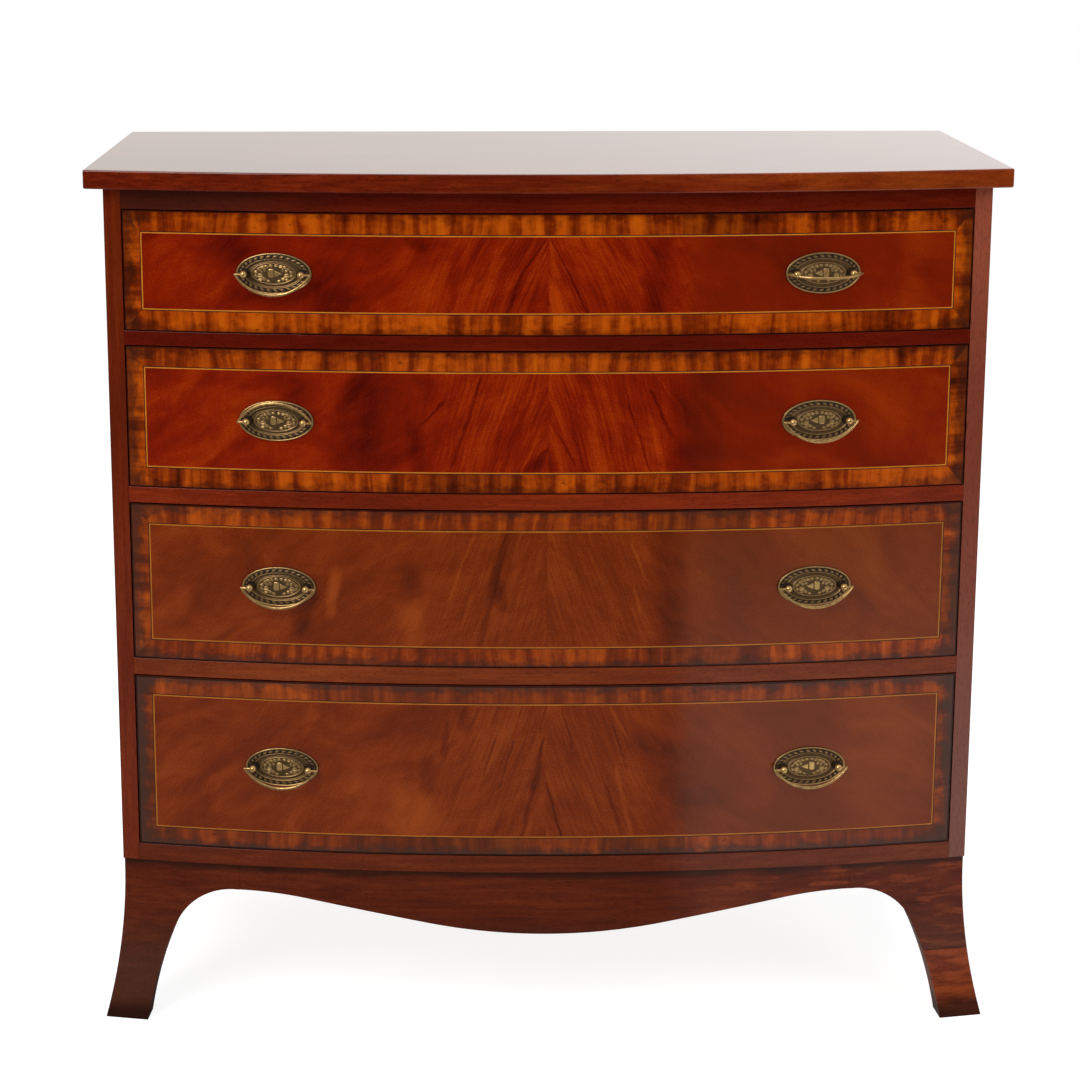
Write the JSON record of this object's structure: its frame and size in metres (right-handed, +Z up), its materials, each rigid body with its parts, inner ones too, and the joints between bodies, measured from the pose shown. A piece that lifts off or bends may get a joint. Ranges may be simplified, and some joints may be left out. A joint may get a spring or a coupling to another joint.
{
  "type": "bow front chest of drawers",
  "caption": "Bow-fronted mahogany chest of graduated drawers on splayed bracket feet, crossbanded and strung, with oval brass bail handles.",
  "frame": {"origin": "on the floor, under the centre of the chest's bounding box", "axes": "+X to the chest's right as seen from the front, +Y towards its back, +Z up"},
  "size_m": [1.0232, 0.5084, 0.9885],
  "materials": {
    "polished_mahogany_top": "glossy french polish",
    "mahogany_sides": "glossy",
    "mahogany_rails": "glossy",
    "mahogany_base": "satin",
    "inlaid_drawer_fronts": "glossy flame mahogany with crossbanding and stringing",
    "drawer_linings": "bare oak-like secondary wood",
    "plywood": "bare",
    "carcase_softwood": "bare",
    "antique_brass": "antiqued, dark in the recesses"
  },
  "bodies": {
    "case": {"top": "polished_mahogany_top", "left_side": "mahogany_sides", "right_side": "mahogany_sides", "back_panel": "plywood", "top_rail": "mahogany_rails", "divider_1": "mahogany_rails", "divider_2": "mahogany_rails", "divider_3": "mahogany_rails", "bottom_rail": "mahogany_rails", "bottom_board": "carcase_softwood", "runners_1": "carcase_softwood", "runners_2": "carcase_softwood", "runners_3": "carcase_softwood", "runners_4": "carcase_softwood", "kickers": "carcase_softwood", "drawer_stops": "carcase_softwood", "front_apron": "mahogany_base", "left_apron": "mahogany_base", "right_apron": "mahogany_base", "front_left_foot": "mahogany_base", "front_right_foot": "mahogany_base", "back_left_foot": "mahogany_base", "back_right_foot": "mahogany_base", "glue_blocks": "carcase_softwood"},
    "drawer_1": {"drawer_1_front": "inlaid_drawer_fronts", "drawer_1_left_side": "drawer_linings", "drawer_1_right_side": "drawer_linings", "drawer_1_back": "drawer_linings", "drawer_1_bottom": "plywood", "drawer_1_backplates": "antique_brass", "drawer_1_posts": "antique_brass"},
    "drawer_1_left_bail": {"drawer_1_left_bail": "antique_brass"},
    "drawer_1_right_bail": {"drawer_1_right_bail": "antique_brass"},
    "drawer_2": {"drawer_2_front": "inlaid_drawer_fronts", "drawer_2_left_side": "drawer_linings", "drawer_2_right_side": "drawer_linings", "drawer_2_back": "drawer_linings", "drawer_2_bottom": "plywood", "drawer_2_backplates": "antique_brass", "drawer_2_posts": "antique_brass"},
    "drawer_2_left_bail": {"drawer_2_left_bail": "antique_brass"},
    "drawer_2_right_bail": {"drawer_2_right_bail": "antique_brass"},
    "drawer_3": {"drawer_3_front": "inlaid_drawer_fronts", "drawer_3_left_side": "drawer_linings", "drawer_3_right_side": "drawer_linings", "drawer_3_back": "drawer_linings", "drawer_3_bottom": "plywood", "drawer_3_backplates": "antique_brass", "drawer_3_posts": "antique_brass"},
    "drawer_3_left_bail": {"drawer_3_left_bail": "antique_brass"},
    "drawer_3_right_bail": {"drawer_3_right_bail": "antique_brass"},
    "drawer_4": {"drawer_4_front": "inlaid_drawer_fronts", "drawer_4_left_side": "drawer_linings", "drawer_4_right_side": "drawer_linings", "drawer_4_back": "drawer_linings", "drawer_4_bottom": "plywood", "drawer_4_backplates": "antique_brass", "drawer_4_posts": "antique_brass"},
    "drawer_4_left_bail": {"drawer_4_left_bail": "antique_brass"},
    "drawer_4_right_bail": {"drawer_4_right_bail": "antique_brass"}
  },
  "joints": [
    {"name": "drawer_1_slide", "type": "slide", "parent": "case", "child": "drawer_1", "axis": [0, -1, 0], "range_m": [0, 0.36]},
    {"name": "drawer_1_left_bail_swing", "type": "hinge", "parent": "drawer_1", "child": "drawer_1_left_bail", "pos_m": [-0.30149, -0.22792, 0.87675], "axis": [-0.9922, 0.1244, 0], "range_deg": [0, 190]},
    {"name": "drawer_1_right_bail_swing", "type": "hinge", "parent": "drawer_1", "child": "drawer_1_right_bail", "pos_m": [0.30149, -0.22792, 0.87675], "axis": [-0.9922, -0.1244, 0], "range_deg": [-86, 104]},
    {"name": "drawer_2_slide", "type": "slide", "parent": "case", "child": "drawer_2", "axis": [0, -1, 0], "range_m": [0, 0.36]},
    {"name": "drawer_2_left_bail_swing", "type": "hinge", "parent": "drawer_2", "child": "drawer_2_left_bail", "pos_m": [-0.30149, -0.22792, 0.71275], "axis": [-0.9922, 0.1244, 0], "range_deg": [-172, 18]},
    {"name": "drawer_2_right_bail_swing", "type": "hinge", "parent": "drawer_2", "child": "drawer_2_right_bail", "pos_m": [0.30149, -0.22792, 0.71275], "axis": [-0.9922, -0.1244, 0], "range_deg": [0, 190]},
    {"name": "drawer_3_slide", "type": "slide", "parent": "case", "child": "drawer_3", "axis": [0, -1, 0], "range_m": [0, 0.36]},
    {"name": "drawer_3_left_bail_swing", "type": "hinge", "parent": "drawer_3", "child": "drawer_3_left_bail", "pos_m": [-0.30149, -0.22792, 0.52325], "axis": [-0.9922, 0.1244, 0], "range_deg": [0, 190]},
    {"name": "drawer_3_right_bail_swing", "type": "hinge", "parent": "drawer_3", "child": "drawer_3_right_bail", "pos_m": [0.30149, -0.22792, 0.52325], "axis": [-0.9922, -0.1244, 0], "range_deg": [0, 190]},
    {"name": "drawer_4_slide", "type": "slide", "parent": "case", "child": "drawer_4", "axis": [0, -1, 0], "range_m": [0, 0.36]},
    {"name": "drawer_4_left_bail_swing", "type": "hinge", "parent": "drawer_4", "child": "drawer_4_left_bail", "pos_m": [-0.30149, -0.22792, 0.31075], "axis": [-0.9922, 0.1244, 0], "range_deg": [0, 190]},
    {"name": "drawer_4_right_bail_swing", "type": "hinge", "parent": "drawer_4", "child": "drawer_4_right_bail", "pos_m": [0.30149, -0.22792, 0.31075], "axis": [-0.9922, -0.1244, 0], "range_deg": [0, 190]}
  ]
}
